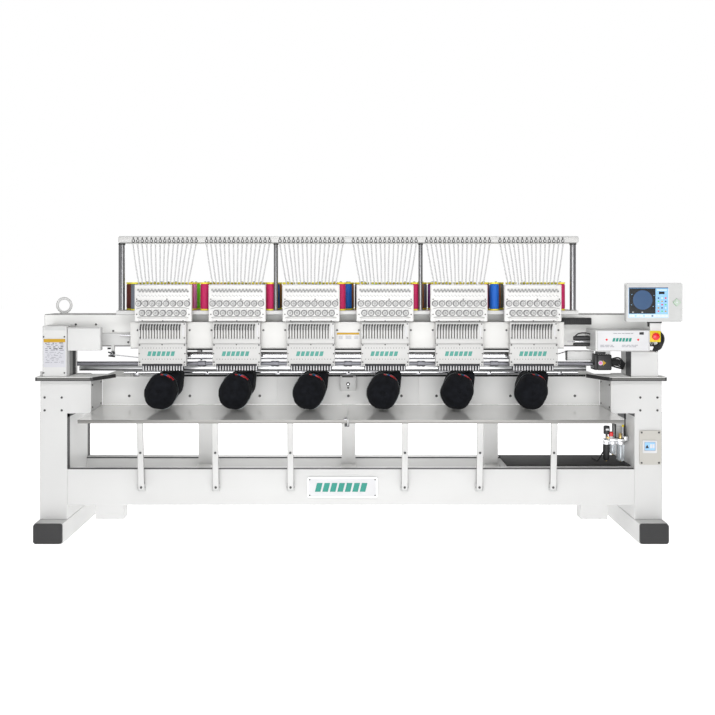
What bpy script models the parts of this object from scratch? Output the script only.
"""Six-head embroidery machine with cap frames, in metres, +Z up, its front facing -Y.

The origin is on the floor, under the middle of the whole machine's box. The frame, the bed
and the upper beam stand still. The colour-change carriage slides along X, the pantograph
slides along Y and turns six caps about Y, and the two shelves let down on swinging stays.
"""

import math

import bmesh
import bpy
from mathutils import Matrix, Vector

# Driving dimensions
HEADS = 6
HEAD_PITCH = 0.400
NEEDLES = 15
NEEDLE_PITCH = 0.015
GAP = 0.0003
MID_X = -0.033  # the frame's mid-plane: the control panel shifts the whole box's middle
HEADS_MID_X = MID_X - 0.016
BEAM_HALF = 1.703
EYE_OFFSET = 1.623
EYE_Z = 1.258
EYE_RADIUS = 0.039
EYE_WIRE = 0.0072
WALL = 0.004  # sheet-metal boxes and tubes
THROUGH = 0.020  # how far a cutter runs past the face that it opens

# Frame
FRONT_Y = -0.441
FRAME_BACK_Y = -0.050
FOOT_FRONT_Y = -0.525
FOOT_BACK_Y = 0.670
FOOT_TOP = 0.110
FOOT_INNER = 1.527
FOOT_OUTER = 1.680
CAP_END = 0.012
PILLAR_OUTER = 1.677
PILLAR_TOP = 0.690
LOW_BEAM_Z = (0.188, 0.382)
REAR_BEAM_Z = (0.188, 0.378)
BEAM_DEPTH = 0.060
POST_SIDE = 0.080
POST_OFFSETS = (-0.836, -0.014, 0.804)
CROSS_Z = (0.264, 0.344)

# Table and bed
CORNER_INNER = 1.399
CORNER_OUTER = 1.673
CORNER_Z = (0.682, 0.8577)
TABLE_Y = (-0.461, -0.290)
TABLE_NOTCH_Y = -0.375
TABLE_Z = (0.858, 0.879)
BED_Y = (-0.240, -0.1403)
BED_Z = (0.701, 0.8525)
ARM_AXIS_Z = 0.806
ARM_TIP_Y = -0.425
ARM_RADIUS = 0.028
DECK_Z = (0.8403, 0.862)
DECK_BACK_Y = 0.420

# Upper works
COLUMN_BASE_Z = TABLE_Z[1] + GAP
BEAM_Y = (-0.300, -0.120)
BEAM_Z = (1.031, 1.211)
HEAD_ARM_Y = (-0.392, BEAM_Y[0] - GAP)
HEAD_ARM_Z = (0.922, 1.205)
SHAFT_Y = -0.360
SHAFT_Z = 0.942
SHAFT_RADIUS = 0.012
GUIDE_Y = -0.345
GUIDE_Z = 0.985
GUIDE_RADIUS = 0.021
TRAY_Y = (-0.380, -0.120)
TRAY_Z = (BEAM_Z[1] + GAP, 1.233)
SPOOL_TOP = 1.388
SPOOL_RADIUS = 0.0275
SPOOL_ROWS = ((-0.335, -0.160, 0.158), (-0.250, -0.152, 0.175), (-0.165, -0.140, 0.188))
SPOOL_COLUMNS = 5
RACK_Y = -0.362
RACK_POSTS = ((-1.255, 0.0165), (-0.411, 0.0115), (0.381, 0.0115), (1.215, 0.0165))
RAIL_Z = (1.601, 1.640)

# Carriage
CARRIAGE_BACK_Y = -0.3955
LINK_FRONT_Y = -0.405
CASE_Y = (-0.445, LINK_FRONT_Y - GAP)
TENSION_Z = (1.175, 1.376)
TENSION_Y = (-0.425, CARRIAGE_BACK_Y)

# Pantograph and caps
PANTOGRAPH_Z = (0.893, 0.919)
RING_Y = (-0.287, -0.272)
CAP_BACK_Y = -0.290
CAP_DEPTH = 0.230
CAP_RADIUS = 0.089
CAP_STRETCH = 1.146
CAP_LEAN = math.radians(12)

# Shelves and stays
SHELF_HINGE = (-0.243, 0.692)
SHELF_DEPTH = 0.427
SHELF_SLOPE = math.radians(2.3)
SHELF_SEAM = -0.018
SHELF_END = 1.396
STAY_OFFSETS = (-1.125, -0.725, -0.324, 0.288, 0.689, 1.084)
STAY_PIVOT = (-0.455, 0.288)
STAY_LENGTH = 0.374
STAY_TAIL = 0.012  # short enough to turn past the front beam's face
STAY_LEAN = math.radians(5.4)

# Control panel
PANEL_X = (MID_X + 1.4685, MID_X + 1.769)
PANEL_Y = (-0.480, -0.450)
PANEL_Z = (1.176, 1.384)
ESTOP_X = MID_X + 1.627
ESTOP_Z = 1.098
START_X = MID_X + 1.738
START_Z = 1.280

FINISHES = {
    "white_paint": ((0.84, 0.84, 0.82), 0.40, 0.0),
    "ivory_plastic": ((0.87, 0.86, 0.82), 0.45, 0.0),
    "grey_plastic": ((0.66, 0.67, 0.68), 0.45, 0.0),
    "table_laminate": ((0.78, 0.78, 0.76), 0.50, 0.0),
    "stainless": ((0.70, 0.70, 0.69), 0.15, 1.0),
    "polished_steel": ((0.80, 0.80, 0.82), 0.12, 1.0),
    "dark_steel": ((0.16, 0.16, 0.18), 0.35, 1.0),
    "aluminium": ((0.82, 0.83, 0.85), 0.30, 1.0),
    "black_plastic": ((0.02, 0.02, 0.02), 0.50, 0.0),
    "cap_fabric": ((0.012, 0.012, 0.014), 0.95, 0.0),
    "thread": ((0.70, 0.05, 0.30), 0.60, 0.0),
    "clear_tube": ((0.75, 0.76, 0.78), 0.30, 0.0),
    "red_plastic": ((0.75, 0.02, 0.03), 0.35, 0.0),
    "green_plastic": ((0.55, 0.85, 0.55), 0.40, 0.0),
    "panel_plastic": ((0.74, 0.75, 0.74), 0.40, 0.0),
    "beige_plastic": ((0.72, 0.70, 0.65), 0.45, 0.0),
}


def clear_scene():
    for obj in list(bpy.data.objects):
        bpy.data.objects.remove(obj)


def new_collection(name):
    collection = bpy.data.collections.new(name)
    bpy.context.scene.collection.children.link(collection)
    return collection


def as_object(name, shape):
    """A bmesh made into an object in the helpers' collection, hidden from renders."""
    mesh = bpy.data.meshes.new(name)
    shape.to_mesh(mesh)
    shape.free()
    obj = bpy.data.objects.new(name, mesh)
    HELPERS.objects.link(obj)
    obj.hide_render = True
    obj.display_type = "WIRE"
    return obj


def finished(obj, finish):
    """Moves a helper into the machine's collection as a sub-part with its own material."""
    colour, roughness, metallic = FINISHES[finish]
    surface = bpy.data.materials.new(obj.name + "_" + finish)
    surface.use_nodes = True
    shader = surface.node_tree.nodes["Principled BSDF"]
    shader.inputs["Base Color"].default_value = (*colour, 1.0)
    shader.inputs["Roughness"].default_value = roughness
    shader.inputs["Metallic"].default_value = metallic
    obj.data.materials.append(surface)
    HELPERS.objects.unlink(obj)
    MACHINE.objects.link(obj)
    obj.hide_render = False
    obj.display_type = "TEXTURED"
    return obj


def block(name, x, y, z, bevel=0.0, segments=1):
    """A box between two limits on each axis, its edges bevelled where a width is given."""
    low = Vector((x[0], y[0], z[0]))
    high = Vector((x[1], y[1], z[1]))
    shape = bmesh.new()
    bmesh.ops.create_cube(shape, size=1.0)
    bmesh.ops.scale(shape, vec=high - low, verts=shape.verts)
    obj = as_object(name, shape)
    obj.location = (low + high) / 2
    if bevel:
        edges = obj.modifiers.new("rounded_edges", "BEVEL")
        edges.width = bevel
        edges.segments = segments
    return obj


def rod(name, start, end, radius, sides=12, end_radius=None):
    """A cylinder, or a cone where end_radius is given, from start to end."""
    start = Vector(start)
    along = Vector(end) - start
    shape = bmesh.new()
    bmesh.ops.create_cone(
        shape,
        cap_ends=True,
        segments=sides,
        radius1=radius,
        radius2=radius if end_radius is None else end_radius,
        depth=along.length,
    )
    obj = as_object(name, shape)
    obj.rotation_euler = along.to_track_quat("Z", "Y").to_euler()
    obj.location = start + along / 2
    obj.data.shade_smooth()
    obj.data.set_sharp_from_angle(angle=math.radians(40))
    return obj


def merged(name, pieces):
    """One helper holding several pieces that stay clear of each other."""
    shape = bmesh.new()
    for piece in pieces:
        piece.data.transform(piece.matrix_basis)
        shape.from_mesh(piece.data)
        bpy.data.objects.remove(piece)
    return as_object(name, shape)


def combine(obj, other, operation):
    boolean = obj.modifiers.new(operation.lower(), "BOOLEAN")
    boolean.operation = operation
    boolean.object = other
    boolean.solver = "EXACT"


def join(obj, *others):
    for other in others:
        combine(obj, other, "UNION")


def cut(obj, *cutters):
    for cutter in cutters:
        combine(obj, cutter, "DIFFERENCE")


def hollow(obj, x, y, z):
    """Leaves a sheet-metal wall around the box's inside; a limit pair past a face opens it."""
    cut(obj, block(obj.name + "_inside", x, y, z))


def inset(limits, low=WALL, high=WALL):
    """Limits moved in by a wall at each end, or out past a face where a wall is negative."""
    return (limits[0] + low, limits[1] - high)


def put_origin(obj, point):
    """Moves the object's origin to a point, such as one on its joint's axis."""
    place = Matrix.Translation(Vector(point))
    obj.data.transform(place.inverted() @ obj.matrix_basis)
    obj.matrix_basis = place


def head_x(index):
    return HEADS_MID_X + (index - (HEADS - 1) / 2) * HEAD_PITCH


def spread(count, pitch):
    """Offsets of evenly spaced things about zero."""
    return [(i - (count - 1) / 2) * pitch for i in range(count)]


def span(centre, width):
    return (centre - width / 2, centre + width / 2)


def side_span(side, inner, outer):
    """The X limits of something mirrored about the mid-plane, on side -1 or 1."""
    ends = (MID_X + side * inner, MID_X + side * outer)
    return (min(ends), max(ends))


def make_foot(side, name):
    x = side_span(side, FOOT_INNER, FOOT_OUTER)
    y = (FOOT_FRONT_Y + CAP_END + GAP, FOOT_BACK_Y)
    z = (0.0, FOOT_TOP)
    foot = block("foot_" + name, x, y, z, 0.003)
    hollow(foot, inset(x), inset(y, -THROUGH, -THROUGH), inset(z))
    finished(foot, "white_paint")
    y = (FOOT_FRONT_Y, FOOT_FRONT_Y + CAP_END)
    finished(block("foot_cap_" + name, x, y, (0.004, FOOT_TOP), 0.004), "black_plastic")


def make_pillar(side, name):
    """The pillar on its foot and the boxed corner welded over it, wider towards the middle."""
    x = side_span(side, FOOT_INNER, PILLAR_OUTER)
    z = (FOOT_TOP + GAP, PILLAR_TOP)
    y = (FRONT_Y, FRAME_BACK_Y)
    pillar = block("pillar_" + name, x, y, z, 0.003)
    hollow(pillar, inset(x), inset(y), inset(z, WALL, -THROUGH))
    back = BED_Y[0] - 0.0013
    outer = side_span(side, FOOT_INNER - 0.010, CORNER_OUTER)
    inner = side_span(side, CORNER_INNER, FOOT_INNER)
    corner = block("corner_box", outer, y, CORNER_Z)
    join(corner, block("corner_step", inner, (FRONT_Y, back), CORNER_Z))
    open_z = inset(CORNER_Z, -THROUGH, WALL)
    hollow(corner, inset(outer), inset(y), open_z)
    reach = side_span(side, CORNER_INNER + WALL, FOOT_INNER + 0.050)
    hollow(corner, reach, inset((FRONT_Y, back)), open_z)
    join(pillar, corner)
    finished(pillar, "white_paint")


def make_front_beam():
    """The low front beam with the two levelling brackets under it."""
    x = side_span(1, -FOOT_INNER + GAP, FOOT_INNER - GAP)
    y = (FRONT_Y, FRONT_Y + BEAM_DEPTH)
    beam = block("front_beam", x, y, LOW_BEAM_Z, 0.002)
    hollow(beam, inset(x, -THROUGH, -THROUGH), inset(y), inset(LOW_BEAM_Z))
    for start, end in ((-1.375, -1.224), (1.236, 1.382)):
        x = (MID_X + start, MID_X + end)
        z = (0.112, LOW_BEAM_Z[0] + 0.003)
        join(beam, block("levelling_bracket", x, (FRONT_Y + 0.001, FRONT_Y + 0.080), z))
    finished(beam, "white_paint")


def make_rear_frame():
    """The rear beam, its three posts and the cross members to the front beam."""
    x = side_span(1, -FOOT_INNER + GAP, FOOT_INNER - GAP)
    y = (FRAME_BACK_Y - BEAM_DEPTH, FRAME_BACK_Y)
    frame = block("rear_frame", x, y, REAR_BEAM_Z)
    hollow(frame, inset(x, -THROUGH, -THROUGH), inset(y), inset(REAR_BEAM_Z))
    posts = []
    crosses = []
    for offset in POST_OFFSETS:
        x = span(MID_X + offset, POST_SIDE)
        y = (BED_Y[1] + GAP, BED_Y[1] + GAP + POST_SIDE)
        posts.append(block("post", x, y, (REAR_BEAM_Z[1] - 0.100, DECK_Z[0] - GAP)))
        x = span(MID_X + offset, POST_SIDE + 0.004)
        y = (FRONT_Y + BEAM_DEPTH + GAP, FRAME_BACK_Y - 0.030)
        crosses.append(block("cross_member", x, y, CROSS_Z))
    join(frame, merged("posts", posts), merged("cross_members", crosses))
    finished(frame, "white_paint")


def make_table(side, name):
    """A corner's board: notched round the column's base, its inner end slanting towards the bed."""
    outline = [
        (1.692, TABLE_Y[0]),
        (1.389, TABLE_Y[0]),
        (1.310, TABLE_Y[1]),
        (1.573, TABLE_Y[1]),
        (1.573, TABLE_NOTCH_Y),
        (1.692, TABLE_NOTCH_Y),
    ]
    shape = bmesh.new()
    corners = [shape.verts.new((MID_X + side * x, y, TABLE_Z[0])) for x, y in outline]
    face = shape.faces.new(corners)
    risen = bmesh.ops.extrude_face_region(shape, geom=[face])["geom"]
    lifted = [item for item in risen if isinstance(item, bmesh.types.BMVert)]
    bmesh.ops.translate(shape, vec=(0, 0, TABLE_Z[1] - TABLE_Z[0]), verts=lifted)
    bmesh.ops.recalc_face_normals(shape, faces=shape.faces)
    finished(as_object("table_" + name, shape), "table_laminate")


def make_bed_beam():
    """The bed's front panel with six bed arms, a control box and the chrome guide on top."""
    half = CORNER_INNER - GAP
    x = side_span(1, -half, half)
    bed = block("bed_beam", x, BED_Y, BED_Z)
    hollow(bed, inset(x, -THROUGH, -THROUGH), inset(BED_Y), inset(BED_Z))
    arms = []
    for index in range(HEADS):
        start = (head_x(index), BED_Y[0] + 0.020, ARM_AXIS_Z)
        arms.append(rod("bed_arm", start, (head_x(index), ARM_TIP_Y, ARM_AXIS_Z), ARM_RADIUS))
    saddles = []
    for offset in spread(7, HEAD_PITCH):
        z = (BED_Z[1] - 0.002, 0.880)
        saddles.append(block("saddle", span(HEADS_MID_X + offset, 0.030), (-0.213, -0.197), z))
    control = block(
        "control_box", (MID_X - 0.060, MID_X + 0.028), (-0.290, -0.220), (0.783, 0.867)
    )
    tube = rod("guide_tube", (MID_X - 1.285, -0.205, 0.878), (MID_X + 1.285, -0.205, 0.878), 0.012, 8)
    join(bed, merged("bed_arms", arms), merged("saddles", saddles), control, tube)
    finished(bed, "white_paint")


def make_rear_deck():
    """The deck behind the bed, with the two rails that the pantograph's arms run along."""
    half = CORNER_INNER - GAP
    y = (BED_Y[1] + GAP, DECK_BACK_Y)
    deck = block("rear_deck", side_span(1, -half, half), y, DECK_Z)
    rails = []
    for offset in (-0.62, 0.62):
        x = span(MID_X + offset, 0.060)
        rails.append(block("rail", x, (-0.130, 0.400), (DECK_Z[1] - 0.005, 0.886)))
    join(deck, merged("deck_rails", rails))
    finished(deck, "white_paint")


def make_columns():
    """The two columns: a cover at the front and the beam's narrower support behind it."""
    back = BEAM_Y[0] - GAP
    make_column("left", (-1.659, -1.529), (-1.659, -1.575), (-0.448, back), 1.153)
    make_column("right", (1.505, 1.652), (1.575, 1.652), (-0.448, back + 0.020), 1.0145)


def make_column(name, cover, support, y, top):
    x = (MID_X + cover[0], MID_X + cover[1])
    z = (COLUMN_BASE_Z, top)
    column = block("column_" + name, x, y, z, 0.003)
    hollow(column, inset(x), inset(y), inset(z, -THROUGH, WALL))
    x = (MID_X + support[0], MID_X + support[1])
    post_z = (COLUMN_BASE_Z, BEAM_Z[0] - GAP)
    post = block("beam_support", x, (y[1] - 0.002, -0.130), post_z)
    base_z = (TABLE_Z[0], COLUMN_BASE_Z + 0.002)
    join(column, post, block("column_base", x, (TABLE_NOTCH_Y + GAP, -0.130), base_z))
    finished(column, "white_paint")


def make_upper_beam():
    """The beam that carries the heads."""
    x = side_span(1, -BEAM_HALF, BEAM_HALF)
    beam = block("upper_beam", x, BEAM_Y, BEAM_Z, 0.004)
    hollow(beam, inset(x, 0.008, 0.008), inset(BEAM_Y, 0.008, 0.008), inset(BEAM_Z, 0.008, 0.008))
    slot_y = span(sum(BEAM_Y) / 2, 0.060)
    slot_z = (BEAM_Z[0] - THROUGH, BEAM_Z[0] + THROUGH)
    cut(beam, block("cable_slot", (MID_X - 1.500, MID_X - 1.420), slot_y, slot_z))
    finished(beam, "white_paint")


def make_lifting_eye(side, name):
    """A ring bolt on the beam, near its end."""
    centre = Vector((MID_X + side * EYE_OFFSET, sum(BEAM_Y) / 2, EYE_Z))
    shape = bmesh.new()
    bmesh.ops.create_circle(shape, segments=6, radius=EYE_WIRE)
    bmesh.ops.rotate(shape, matrix=Matrix.Rotation(math.pi / 2, 3, "Y"), verts=shape.verts)
    bmesh.ops.translate(shape, vec=(0, 0, EYE_RADIUS), verts=shape.verts)
    profile = shape.verts[:] + shape.edges[:]
    bmesh.ops.spin(shape, geom=profile, axis=(0, 1, 0), steps=16, angle=math.tau, use_merge=True)
    bmesh.ops.recalc_face_normals(shape, faces=shape.faces)
    eye = as_object("lifting_eye_" + name, shape)
    eye.location = centre
    foot = Vector((centre.x, centre.y, BEAM_Z[1] + GAP))
    flange = rod("eye_flange", foot, foot + Vector((0, 0, 0.005)), 0.021, 12)
    shank = rod("eye_shank", foot, centre - Vector((0, 0, EYE_RADIUS - 0.001)), 0.012, 8)
    join(eye, flange, shank)
    finished(eye, "white_paint")


def make_head_arms():
    """The six head castings, held together by the guide tube and bored for the shaft."""
    start = (head_x(0) - 0.085, GUIDE_Y, GUIDE_Z)
    end = (head_x(HEADS - 1) + 0.085, GUIDE_Y, GUIDE_Z)
    arms = rod("head_arms", start, end, GUIDE_RADIUS)
    castings = [
        block("casting", span(head_x(i), 0.110), HEAD_ARM_Y, HEAD_ARM_Z) for i in range(HEADS)
    ]
    join(arms, merged("castings", castings))
    bore_start = (head_x(0) - 0.100, SHAFT_Y, SHAFT_Z)
    bore_end = (head_x(HEADS - 1) + 0.100, SHAFT_Y, SHAFT_Z)
    cut(arms, rod("shaft_bore", bore_start, bore_end, SHAFT_RADIUS + 0.0015))
    finished(arms, "polished_steel")


def make_main_shaft():
    """The main shaft with a coupling in each gap between heads."""
    start = Vector((MID_X - 1.500, SHAFT_Y, SHAFT_Z))
    end = Vector((MID_X + 1.322, SHAFT_Y, SHAFT_Z))
    shaft = rod("main_shaft", start, end, SHAFT_RADIUS)
    couplings = []
    for index in range(HEADS - 1):
        x = head_x(index) + HEAD_PITCH / 2
        ends = [(x + reach, SHAFT_Y, SHAFT_Z) for reach in (-0.022, 0.022)]
        couplings.append(rod("coupling", ends[0], ends[1], 0.016, 10))
    join(shaft, merged("couplings", couplings))
    finished(shaft, "dark_steel")


def make_spool_tray():
    """The tray on the beam, with three rows of five thread spools behind each head."""
    tray_x = (MID_X - 1.282, MID_X + 1.243)
    tray = block("spool_tray", tray_x, TRAY_Y, TRAY_Z)
    spools = []
    for index in range(HEADS):
        for y, first, last in SPOOL_ROWS:
            for column in range(SPOOL_COLUMNS):
                x = head_x(index) + first + (last - first) * column / (SPOOL_COLUMNS - 1)
                base = (x, y, TRAY_Z[1] - 0.004)
                spools.append(rod("spool", base, (x, y, SPOOL_TOP), SPOOL_RADIUS, 6))
    join(tray, merged("spools", spools))
    finished(tray, "thread")


def make_thread_rack():
    """Four posts on the tray, with the rail of thread guides across their tops."""
    rail = block("thread_rack", (MID_X - 1.272, MID_X + 1.244), (-0.380, -0.285), RAIL_Z, 0.006)
    posts = []
    for offset, radius in RACK_POSTS:
        foot = (MID_X + offset, RACK_Y, TRAY_Z[1] + GAP)
        posts.append(rod("rack_post", foot, (MID_X + offset, RACK_Y, RAIL_Z[0] + 0.010), radius))
    join(rail, merged("rack_posts", posts))
    finished(rail, "polished_steel")


def make_thread_tubes():
    """The strip under the rail and the fine tubes that lead thread down to each head."""
    top_z = RAIL_Z[0] - 0.008
    x = (MID_X - 1.255, MID_X + 1.225)
    strip = block("thread_tubes", x, (-0.3945, -0.3790), (RAIL_Z[0] - 0.014, RAIL_Z[0] - GAP))
    tubes = []
    for index in range(HEADS):
        for high, low in zip(spread(NEEDLES, 0.0245), spread(NEEDLES, 0.019)):
            start = (head_x(index) + high, -0.383, top_z)
            end = (head_x(index) + low, -0.410, TENSION_Z[1] + 0.008)
            tubes.append(rod("tube", start, end, 0.0018, 4))
    join(strip, merged("tubes", tubes))
    finished(strip, "clear_tube")


def make_covers():
    """The gear cover at the left end, and the drive cover with its twin cylinders at the right."""
    back = BEAM_Y[0] - GAP
    z = (1.019, 1.145)
    neck_x = (MID_X - 1.515, MID_X - 1.386)
    gear = block("gear_cover", (MID_X - 1.528, MID_X - 1.349), (-0.440, -0.398), z, 0.0035, 2)
    neck = block("cover_neck", neck_x, (-0.404, back), inset(z, 0.006, 0.006))
    join(gear, neck)
    hollow(gear, inset(neck_x), (-0.436, back + THROUGH), inset(z, 0.010, 0.010))
    finished(gear, "white_paint")
    x = (MID_X + 1.3046, MID_X + 1.5955)
    y = (-0.480, back)
    z = (1.0185, 1.132)
    drive = block("drive_cover", x, y, z, 0.003)
    hollow(drive, inset(x), inset(y, WALL, -THROUGH), inset(z))
    cylinders = []
    for height, radius in ((1.048, 0.010), (1.082, 0.013)):
        start = (MID_X + 1.330, -0.370, height)
        cylinders.append(rod("air_cylinder", start, (MID_X + 1.2145, -0.370, height), radius))
    join(drive, merged("air_cylinders", cylinders))
    finished(drive, "white_paint")


def make_motor():
    """The black encoder motor that hangs under the drive cover."""
    x = (MID_X + 1.326, MID_X + 1.418)
    motor = block("shaft_motor", x, (-0.400, -0.312), (0.909, 0.994), 0.008)
    hanger = block("hanger", (x[0] + 0.014, x[1] - 0.014), (-0.385, -0.325), (0.988, 1.0182))
    tail = rod("tail", (x[1] - 0.010, -0.356, 0.950), (x[1] + 0.055, -0.356, 0.946), 0.024)
    join(motor, hanger, tail)
    finished(motor, "black_plastic")


def make_air_unit():
    """The air filter and regulator in the right bay, on a bracket off the pillar."""
    y = -0.330
    bracket_x = (MID_X + 1.388, MID_X + FOOT_INNER - GAP)
    unit = block("air_unit", bracket_x, (-0.300, -0.292), (0.440, 0.590))
    for offset, radius, low in ((1.408, 0.018, 0.405), (1.443, 0.017, 0.440), (1.488, 0.022, 0.402)):
        bowl_x = MID_X + offset
        join(unit, rod("bowl", (bowl_x, y, low), (bowl_x, y, 0.505), radius, 10))
    manifold = block("manifold", bracket_x, (y - 0.022, -0.296), (0.500, 0.540), 0.004)
    knob_x = MID_X + 1.410
    knob = rod("regulator_knob", (knob_x, y, 0.535), (knob_x, y, 0.600), 0.016, 10)
    join(unit, manifold, knob)
    finished(unit, "black_plastic")


def make_front_plates():
    y = (FRONT_Y - 0.007, FRONT_Y - GAP)
    x = (MID_X + 1.552, MID_X + 1.667)
    finished(block("power_panel", x, y, (0.407, 0.590), 0.002), "beige_plastic")
    x = (MID_X - 0.234, MID_X + 0.142)
    finished(block("name_plate", x, y, (0.230, 0.339), 0.003), "aluminium")


def make_link_rail():
    x = (MID_X - 1.198, MID_X + 1.157)
    rail = block("link_rail", x, (LINK_FRONT_Y, CARRIAGE_BACK_Y), (1.032, 1.172), 0.002)
    finished(rail, "ivory_plastic")


def make_needle_case(index):
    """One head's needle case: the take-up window above, the cover below, fifteen needles."""
    x = head_x(index)
    name = "needle_case_%d" % (index + 1)
    case = block(name, span(x, 0.259), CASE_Y, (0.946, 1.060), 0.004)
    upper_y = (CASE_Y[0] + 0.002, CASE_Y[1])
    join(case, block("take_up_housing", span(x, 0.254), upper_y, (1.050, 1.171)))
    clamps = []
    for offset in spread(NEEDLES, NEEDLE_PITCH):
        clamps.append(block("needle", span(x + offset, 0.007), (-0.430, -0.423), (0.911, 0.956)))
    join(case, merged("needles", clamps))
    window = block("take_up_window", span(x, 0.222), (-0.450, -0.425), (1.082, 1.156))
    cut(case, window)
    finished(case, "ivory_plastic")


def make_tension_base(index):
    """One head's tension base with its two rows of knobs."""
    x = head_x(index)
    base = block("tension_base_%d" % (index + 1), span(x, 0.309), TENSION_Y, TENSION_Z, 0.005)
    knobs = []
    for count, z in ((8, 1.273), (7, 1.222)):
        for offset in spread(count, 0.0374):
            start = (x + offset, TENSION_Y[0] + 0.010, z)
            knobs.append(rod("knob", start, (x + offset, -0.443, z), 0.016, 8))
    join(base, merged("knobs", knobs))
    finished(base, "grey_plastic")


def make_pantograph():
    """The pantograph's bar, its two drive arms and a cap driver ring at each head."""
    x = (MID_X - 1.522, MID_X + 1.318)
    bar = block("pantograph_bar", x, (-0.262, -0.226), PANTOGRAPH_Z)
    arms = []
    for offset in (-0.62, 0.62):
        arms.append(block("drive_arm", span(MID_X + offset, 0.050), (-0.240, 0.100), (0.896, 0.916)))
    brackets = []
    rings = []
    for index in range(HEADS):
        x = head_x(index)
        brackets.append(block("driver_bracket", span(x, 0.060), (-0.286, -0.245), (0.862, 0.905)))
        ends = [(x, y, ARM_AXIS_Z) for y in RING_Y]
        ring = rod("driver_ring", ends[0], ends[1], 0.072, 20)
        rings.append(ring)
    join(bar, merged("drive_arms", arms), merged("driver_brackets", brackets))
    join(bar, merged("driver_rings", rings))
    holes = []
    for index in range(HEADS):
        ends = [(head_x(index), y, ARM_AXIS_Z) for y in (-0.300, -0.250)]
        holes.append(rod("ring_hole", ends[0], ends[1], 0.040, 16))
    cut(bar, merged("ring_holes", holes))
    finished(bar, "aluminium")


def make_cap(index):
    """A cap's crown as a turned dome, hollow where it slips over the bed arm."""
    base = 0.110
    bore_radius = ARM_RADIUS + 0.006
    bore_depth = CAP_DEPTH - 0.030
    profile = [(0.0, CAP_DEPTH)]
    steps = 6
    for step in range(1, steps + 1):
        angle = math.pi / 2 * (1 - step / steps)
        height = base + (CAP_DEPTH - base) * math.sin(angle) ** 0.9
        profile.append((CAP_RADIUS * math.cos(angle) ** 0.8, height))
    profile += [(CAP_RADIUS * 0.97, 0.0), (bore_radius, 0.0)]
    profile += [(bore_radius, bore_depth), (0.0, bore_depth)]
    shape = bmesh.new()
    points = [shape.verts.new((radius, 0.0, height)) for radius, height in profile]
    for first, second in zip(points, points[1:]):
        shape.edges.new((first, second))
    cap = as_object("cap_%d" % (index + 1), shape)
    turned = cap.modifiers.new("turned", "SCREW")
    turned.steps = 16
    turned.render_steps = 16
    turned.use_merge_vertices = True
    turned.merge_threshold = 0.0001
    cap.location = (head_x(index), CAP_BACK_Y, ARM_AXIS_Z)
    cap.rotation_euler = (math.pi / 2, CAP_LEAN, 0.0)
    cap.scale = (1.0, CAP_STRETCH, 1.0)
    finished(cap, "cap_fabric")


def make_shelf(name, start, end):
    """One folded sheet-metal shelf, hollow underneath, hinged along its rear edge."""
    hinge_y, hinge_z = SHELF_HINGE
    hinge = ((start + end) / 2, hinge_y, hinge_z)
    front_y = hinge_y - SHELF_DEPTH
    z = (hinge_z - 0.009, hinge_z + 0.009)
    shelf = block("shelf_" + name, (start, end), (front_y, hinge_y), z)
    wall = 0.003
    x = (start + wall, end - wall)
    y = (front_y + wall, hinge_y - wall)
    hollow = block("hollow", x, y, (z[0] - 0.010, z[1] - wall))
    for piece in (shelf, hollow):
        put_origin(piece, hinge)
        piece.rotation_euler.x = SHELF_SLOPE
    cut(shelf, hollow)
    finished(shelf, "stainless")


def make_stay(index):
    """One flat stay, which leans out from its bracket on the front beam."""
    x = MID_X + STAY_OFFSETS[index]
    pivot_y, pivot_z = STAY_PIVOT
    y = span(pivot_y, 0.010)
    stay = block(
        "stay_%d" % (index + 1), span(x, 0.032), y, (pivot_z - STAY_TAIL, pivot_z + STAY_LENGTH)
    )
    put_origin(stay, (x, pivot_y, pivot_z))
    stay.rotation_euler.x = STAY_LEAN
    finished(stay, "white_paint")


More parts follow.
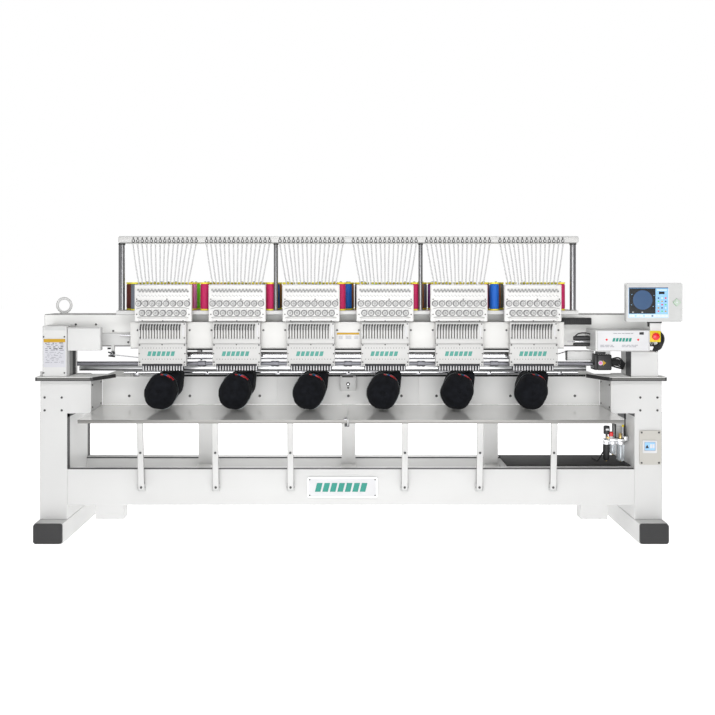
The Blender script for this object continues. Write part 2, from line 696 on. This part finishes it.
def make_panel_arm():
    """The arm from the beam, with the emergency stop's box and the panel's neck."""
    x = (ESTOP_X - 0.0305, ESTOP_X + 0.0305)
    arm = block("panel_arm", x, (-0.470, -0.410), (ESTOP_Z - 0.031, ESTOP_Z + 0.031), 0.003)
    neck_x = (ESTOP_X - 0.028, ESTOP_X + 0.034)
    neck = block("neck", neck_x, (-0.468, -0.442), (ESTOP_Z + 0.025, PANEL_Z[0] - GAP))
    reach = block("reach", neck_x, (-0.430, BEAM_Y[0] - GAP), (1.083, 1.123))
    join(arm, neck, reach)
    cut(arm, rod("stem_bore", (ESTOP_X, -0.480, ESTOP_Z), (ESTOP_X, -0.456, ESTOP_Z), 0.012))
    finished(arm, "white_paint")
    head = rod("estop_button", (ESTOP_X, -0.492, ESTOP_Z), (ESTOP_X, -0.476, ESTOP_Z), 0.021, 20)
    join(head, rod("stem", (ESTOP_X, -0.480, ESTOP_Z), (ESTOP_X, -0.463, ESTOP_Z), 0.010))
    finished(head, "red_plastic")


def make_control_panel():
    """The swivelling control panel and the start button let into its face."""
    panel = block("control_panel", PANEL_X, PANEL_Y, PANEL_Z, 0.006, 2)
    put_origin(panel, (ESTOP_X, -0.455, PANEL_Z[0]))
    front = PANEL_Y[0]
    start = (START_X, front - 0.010, START_Z)
    pocket_end = (START_X, front + 0.008, START_Z)
    cut(panel, rod("button_pocket", start, pocket_end, 0.0220, 16))
    finished(panel, "panel_plastic")
    ends = [(START_X, front + depth, START_Z) for depth in (-0.003, 0.0045)]
    finished(rod("start_button", ends[0], ends[1], 0.0210, 16), "green_plastic")


def build():
    for side, name in ((-1, "left"), (1, "right")):
        make_foot(side, name)
        make_pillar(side, name)
        make_table(side, name)
    make_front_beam()
    make_rear_frame()
    make_bed_beam()
    make_rear_deck()
    make_columns()
    make_upper_beam()
    make_lifting_eye(-1, "left")
    make_lifting_eye(1, "right")
    make_head_arms()
    make_main_shaft()
    make_spool_tray()
    make_thread_rack()
    make_thread_tubes()
    make_covers()
    make_motor()
    make_air_unit()
    make_front_plates()
    make_link_rail()
    make_pantograph()
    for index in range(HEADS):
        make_needle_case(index)
        make_tension_base(index)
        make_cap(index)
        make_stay(index)
    make_shelf("left", MID_X - SHELF_END, MID_X + SHELF_SEAM - 0.0015)
    make_shelf("right", MID_X + SHELF_SEAM + 0.0015, MID_X + SHELF_END)
    make_panel_arm()
    make_control_panel()


clear_scene()
MACHINE = new_collection("embroidery_machine")
HELPERS = new_collection("cutters")
build()
